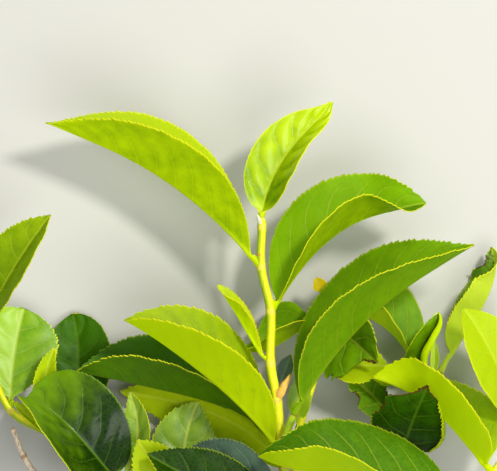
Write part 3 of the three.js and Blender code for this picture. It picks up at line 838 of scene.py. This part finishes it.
brightBackLeaf = {
    "on": ("back_stem", 3), "length": 0.026, "halfWidth": 0.009, "petiole": 0.003, "heading": (4, -2),
    "lift": 8, "fold": 30, "roll": 20, "finish": "young", "tone": (1.2, 1.4),
}
buildLeaf("bright_back_leaf", brightBackLeaf)

backLeaf = {
    "on": ("back_stem", 4), "length": 0.034, "halfWidth": 0.016, "taper": (0.5, 1.2),
    "heading": (195, 212, 150), "fold": (50, 45, 70), "roll": (-50, -72, -50), "finish": "fresh",
    "under": "young", "tone": (0.5, 0.8), "teeth": 0.4,
}
buildLeaf("back_leaf", backLeaf)

chewedLeaf = {
    "on": ("back_stem", 4), "length": 0.028, "halfWidth": 0.018, "heading": (-34, -46), "lift": (28, 22),
    "fold": 31, "roll": -31, "finish": "fresh", "tone": (0.2, 0.5), "ripples": 0.35, "bulge": 0.0006,
    "bites": ((0.87, -1, 0.75, 0.12), (0.68, -1, 0.1, 0.06), (0.56, -1, 0.12, 0.04), (0.3, -1, 0.3, 0.06)),
}
buildLeaf("chewed_leaf", chewedLeaf)

yellowTipLeaf = {
    "on": ("back_stem", 5), "length": 0.0088, "halfWidth": 0.0027, "petiole": 0.0025, "heading": (106, 118),
    "fold": 20, "finish": "ripe", "slot": "young", "tone": (0.8, 0.9),
}
buildLeaf("yellow_tip_leaf", yellowTipLeaf)

# Leaves of the right stem
darkChewedLeaf = {
    "on": ("right_stem", 3), "length": 0.044, "halfWidth": 0.0155, "heading": (84, 72, 66),
    "lift": (50, 48, 36), "fold": 15, "rolled": (-1, 0.24, 150), "finish": "mature", "under": "young",
    "tone": (-0.1, 0.5), "bites": ((0.95, 1, 0.5, 0.16), (0.99, -1, 0.7, 0.08), (0.6, 1, 0.15, 0.1)),
    "dry": ((0.93, 1.0, 0, 0.4),),
}
buildLeaf("dark_chewed_leaf", darkChewedLeaf)

brownLeaf = {
    "on": ("right_stem", 4), "length": 0.0305, "halfWidth": 0.0075, "heading": (120, 146), "lift": 12,
    "fold": 15, "roll": -20, "finish": "fresh", "slot": "mature", "tone": (0.2, 0.5),
    "bites": ((0.7, 1, 0.35, 0.08), (0.4, -1, 0.3, 0.08), (0.85, -1, 0.3, 0.06)),
    "dry": ((0.1, 1.0, 0, 0.32),),
}
buildLeaf("brown_leaf", brownLeaf)

narrowLeaf = {
    "on": ("right_stem", 6), "length": 0.0277, "halfWidth": 0.0098, "taper": (0.45, 0.64),
    "heading": (140, 67, 81), "tipTurn": 18, "lift": (29, 13, 4), "fold": (20, 65, 47),
    "roll": (36, 17, 12), "tipRoll": 9, "rolled": (-1, 0.35, 150), "finish": "glazed", "slot": "fresh",
    "under": "young", "tone": (0.5, 0.7), "paintedHalfLighting": (0, 1.2), "teeth": 0.3,
}
buildLeaf("narrow_leaf", narrowLeaf)

rightPairLeaf = {
    "on": ("right_stem", 5), "length": 0.0507, "halfWidth": 0.0215, "taper": (1.63, 0.55),
    "heading": (89, 135, 179), "lift": (-32, -1, 5), "fold": (44, 49, 49), "roll": (-74, -57, -87),
    "finish": "fresh", "under": "blushed", "tone": (0.1, 0.3), "paintedHalfLighting": (1.2, 0.4), "teeth": 0.3,
}
buildLeaf("right_pair_leaf", rightPairLeaf)

paleBudLeaf = {
    "on": ("right_stem", 6), "length": 0.015, "halfWidth": 0.0022, "petiole": 0.002,
    "heading": (62, 88, 90), "lift": (-10, 8), "fold": 50, "finish": "pale", "slot": "young", "tone": 1.0,
}
buildLeaf("pale_bud_leaf", paleBudLeaf)

tallLeaf = {
    "on": ("right_stem", 7), "length": 0.051, "halfWidth": 0.0132, "taper": (0.6, 0.75), "petiole": 0.008,
    "heading": (64, 59, 98), "tipTurn": 12, "lift": (-12, 2), "fold": (69, 52, 54), "roll": (118, 88, 95),
    "tipRoll": -75, "finish": "pale", "tone": (0.8, 1.1), "paintedHalfLighting": (-1.2, 0),
    "bites": ((0.87, 1, 0.35, 0.06),), "dry": ((0.82, 1.05, 1, 0.42),),
}
buildLeaf("tall_leaf", tallLeaf)

# Leaves of the right side stem
frontLeaf = {
    "on": ("right_side_stem", 1), "length": 0.0771, "halfWidth": 0.0253, "taper": (0.69, 0.64),
    "petiole": 0.005, "heading": (148, 171, 167), "tipTurn": -12, "lift": (10, 2), "fold": (27, 41, 74),
    "roll": (-43, -68, -69), "tipRoll": 18, "finish": "fresh", "slot": "young", "under": "young",
    "tone": (0.1, 0.2), "paintedHalfLighting": (0.9, 0), "toothPitch": 0.002,
}
buildLeaf("front_leaf", frontLeaf)

archedLeaf = {
    "on": ("right_side_stem", 2), "length": 0.0565, "halfWidth": 0.0238, "taper": (0.59, 0.84),
    "heading": (133, 137, 183), "tipTurn": -15, "fold": (79, 41, 55), "roll": (-59, -84, -117),
    "tipRoll": -42, "finish": "young", "tone": (0.5, 0.6), "paintedHalfLighting": (0.5, -0.1), "toothPitch": 0.0019,
}
buildLeaf("arched_leaf", archedLeaf)

rightEdgeLeaf = {
    "on": ("right_side_stem", 3), "length": 0.05, "halfWidth": 0.013, "heading": (98, 113, 128),
    "lift": (16, 4, -10), "fold": 25, "roll": -30, "finish": "young", "tone": (0.8, 1.0), "teeth": 0.4,
}
buildLeaf("right_edge_leaf", rightEdgeLeaf)

# Leaves of the left stem
paleLeaf = {
    "on": ("left_stem", 1), "length": 0.043, "halfWidth": 0.0125, "heading": (112, 88, 62),
    "lift": (-14, 0), "fold": 10, "finish": "pale", "tone": (0.3, 0.4), "bulge": 0.0006,
}
buildLeaf("pale_leaf", paleLeaf)

yellowFrontLeaf = {
    "on": ("left_stem", 1), "length": 0.037, "halfWidth": 0.0105, "heading": (130, 122), "lift": (30, 10),
    "fold": 20, "finish": "young", "tone": 1.0,
}
buildLeaf("yellow_front_leaf", yellowFrontLeaf)

bigDarkLeaf = {
    "on": ("left_stem", 2), "length": 0.0516, "halfWidth": 0.0212, "taper": (0.61, 0.44),
    "heading": (131, 132, 156), "tipTurn": 8, "lift": (57, 8, -33), "fold": (36, 38, 43),
    "roll": (-13, -29, -50), "tipRoll": -7, "finish": "glazed", "slot": "mature", "tone": (-0.1, 0.1, 0.9),
    "paintedHalfLighting": (0.15, 0), "ripples": 0.2, "bulge": 0.0007, "teeth": 0.5,
}
buildLeaf("big_dark_leaf", bigDarkLeaf)

leftYoungLeaf = {
    "on": ("left_stem", 2), "length": 0.035, "halfWidth": 0.006, "heading": (50, 84, 115), "lift": (9, 4),
    "fold": 30, "roll": 20, "finish": "pale", "slot": "fresh", "tone": (0.2, 0.6), "bulge": 0.0008,
}
buildLeaf("left_young_leaf", leftYoungLeaf)

curledSmallLeaf = {
    "on": ("left_stem", 3), "length": 0.027, "halfWidth": 0.0045, "petiole": 0.003, "heading": (150, 130),
    "lift": (62, 10), "fold": 50, "roll": -40, "finish": "young", "tone": 0.8,
}
buildLeaf("curled_small_leaf", curledSmallLeaf)

leftBrightLeaf = {
    "on": ("left_stem", 3), "length": 0.034, "halfWidth": 0.0052, "heading": (120, 62), "lift": (15, -6),
    "fold": 40, "finish": "young", "tone": 0.8,
}
buildLeaf("left_bright_leaf", leftBrightLeaf)

leftRoundLeaf = {
    "on": ("left_stem", 3), "length": 0.05, "halfWidth": 0.013, "taper": (0.9, 0.55), "heading": (60, 105),
    "lift": (-48, -15, 2), "fold": 20, "finish": "mature", "tone": (0.3, 0.7), "bulge": 0.0007,
    "teeth": 0.4,
}
buildLeaf("left_round_leaf", leftRoundLeaf)

leftTallLeaf = {
    "on": ("left_stem", 4), "length": 0.038, "halfWidth": 0.0155, "taper": (0.9, 0.55), "heading": (90, 75),
    "lift": -12, "fold": 12, "roll": -5, "finish": "glossy", "slot": "fresh", "tone": (0.6, 0.7),
    "paintedHalfLighting": (0.3, -0.2), "bulge": 0.0004,
}
buildLeaf("left_tall_leaf", leftTallLeaf)

leftEdgeLeaf = {
    "on": ("left_stem", 5), "length": 0.054, "halfWidth": 0.013, "heading": (66, 52), "lift": (38, 0),
    "fold": 35, "roll": 40, "finish": "young", "slot": "fresh", "tone": (0.2, 0.4),
}
buildLeaf("left_edge_leaf", leftEdgeLeaf)
print("leaves built")


# Buds: tapering bodies wrapped in scales

budSkin = skinMaterial("budScale", stemSkin, {
    "Skin": "f0bc54", "Shade": "c87828", "Node": "dcb050", "Fleck": "f4e8c8", "Gloss": 0.5, "Streaks": 0.7},
    coat=0.1)
silkSkin = skinMaterial("silkyBud", stemSkin, {
    "Skin": "d7d7c4", "Shade": "a8b27d", "Node": "c0c493", "Fleck": "dfdfdf", "Gloss": 0.35, "Streaks": 0.9},
    coat=0.2)

budForm = {"sides": 24, "rings": 40, "scales": 3, "places": (0, 0.3, 0.6, 0.85, 1),
           "widths": (0.7, 1.0, 0.8, 0.4, 0.05)}


def buildBud(node, bud):
    base = nodesOf(bud["on"][0])[bud["on"][1]]
    piece, around, along = addGrid(node, budForm["sides"], budForm["rings"])
    share = (along + 1) / 2
    turn = np.pi * (around + 1)
    profile = np.interp(share, budForm["places"], budForm["widths"])
    wrapped = np.mod(share * budForm["scales"] + turn / (2 * np.pi), 1.0)
    scales = 1 + bud["overlap"] * wrapped * np.cos(turn * 0.5) ** 2
    radius = bud["radius"] * profile * scales
    tangent = direction(bud["heading"], bud["lift"])
    sideWay = unit(np.cross(up, tangent))
    topWay = np.cross(tangent, sideWay)
    places = base + tangent * (share * bud["length"])[:, None]
    places = places + sideWay * (radius * np.cos(turn))[:, None] + topWay * (radius * np.sin(turn))[:, None]
    setPlaces(piece, places)
    addAttribute(piece, "stem", np.stack([share * bud["length"], turn / (2 * np.pi), 1 - share], -1))
    piece.data.materials.append(bud["material"])
    closeSeam()
    settle(piece, node)


terminalBud = {"on": ("main_stem", 8), "length": 0.0055, "radius": 0.0009, "heading": 110, "lift": 24,
               "overlap": 0.12, "material": silkSkin}
buildBud("terminal_bud", terminalBud)
axillaryBud = {"on": ("main_stem", 4), "length": 0.0115, "radius": 0.0015, "heading": 64, "lift": 22,
               "overlap": 0.15, "material": budSkin}
buildBud("axillary_bud", axillaryBud)
print("buds built")


# Floor, lights and camera

floorLook = {"size": 8.0, "colour": "b4b3ae", "roughness": 0.9}
bpy.ops.object.select_all(action="DESELECT")
bpy.ops.mesh.primitive_plane_add(size=floorLook["size"])
floor = bpy.context.object
floor.name = "floor"
floorPaint = bpy.data.materials.new("floorPaint")
floorPaint.use_nodes = True
floorShader = floorPaint.node_tree.nodes["Principled BSDF"].inputs
floorShader["Base Color"].default_value = socketValue(floorLook["colour"])
floorShader["Roughness"].default_value = floorLook["roughness"]
floor.data.materials.append(floorPaint)

scene = bpy.context.scene
studio = {"colour": (0.95, 0.97, 1.0, 1.0), "strength": 0.42, "lampDistance": 1.4}
world = bpy.data.worlds.new("studio")
world.use_nodes = True
background = world.node_tree.nodes["Background"].inputs
background["Color"].default_value = studio["colour"]
background["Strength"].default_value = studio["strength"]
scene.world = world


def addLamp(name, lamp):  # a disc that faces the middle of the branch
    data = bpy.data.lights.new(name, "AREA")
    data.shape = "DISK"
    data.size = lamp["size"]
    data.energy = lamp["power"]
    data.color = lamp["colour"]
    lampObject = bpy.data.objects.new(name, data)
    scene.collection.objects.link(lampObject)
    lampObject.location = unit(np.array(lamp["towards"])) * studio["lampDistance"]
    lampObject.rotation_mode = "QUATERNION"
    lampObject.rotation_quaternion = lampObject.location.to_track_quat("Z", "Y")


keyLamp = {"towards": (0.4, 0.38, 0.85), "size": 0.2, "power": 16.0, "colour": (1.0, 0.98, 0.9)}
addLamp("keyLamp", keyLamp)
topLamp = {"towards": (0.1, 0.95, 0.45), "size": 0.5, "power": 8.0, "colour": (1.0, 0.98, 0.9)}
addLamp("topLamp", topLamp)
fillLamp = {"towards": (0.3, -0.35, 0.9), "size": 1.0, "power": 13.5, "colour": (1.0, 1.0, 0.97)}
addLamp("fillLamp", fillLamp)

# The picture is 497 by 471 pixels, and one pixel is 0.36 mm at the main stem's height.
picture = {"pixel": 0.00036, "width": 497, "height": 471, "distance": 2.4, "sensor": 36.0, "clipEnd": 20.0,
           "stemPixel": (277, 436), "stemPlace": (-0.008, 0.072)}  # a point on the stem, from the cut end
mainHeight = nodesOf("woody_branch")[5][2]
stemX, stemY = picture["stemPixel"]
aim = cutEnd[:2] + picture["stemPlace"] + picture["pixel"] * np.array([
    picture["width"] / 2 - stemX, stemY - picture["height"] / 2])
cameraData = bpy.data.cameras.new("camera")
camera = bpy.data.objects.new("camera", cameraData)
scene.collection.objects.link(camera)
cameraData.sensor_width = picture["sensor"]
cameraData.lens = picture["sensor"] * picture["distance"] / (picture["width"] * picture["pixel"])
cameraData.clip_end = picture["clipEnd"]
camera.location = (aim[0], aim[1], mainHeight + picture["distance"])
scene.camera = camera

scene.view_settings.view_transform = "Standard"
scene.view_settings.look = "None"

print("scene ready")
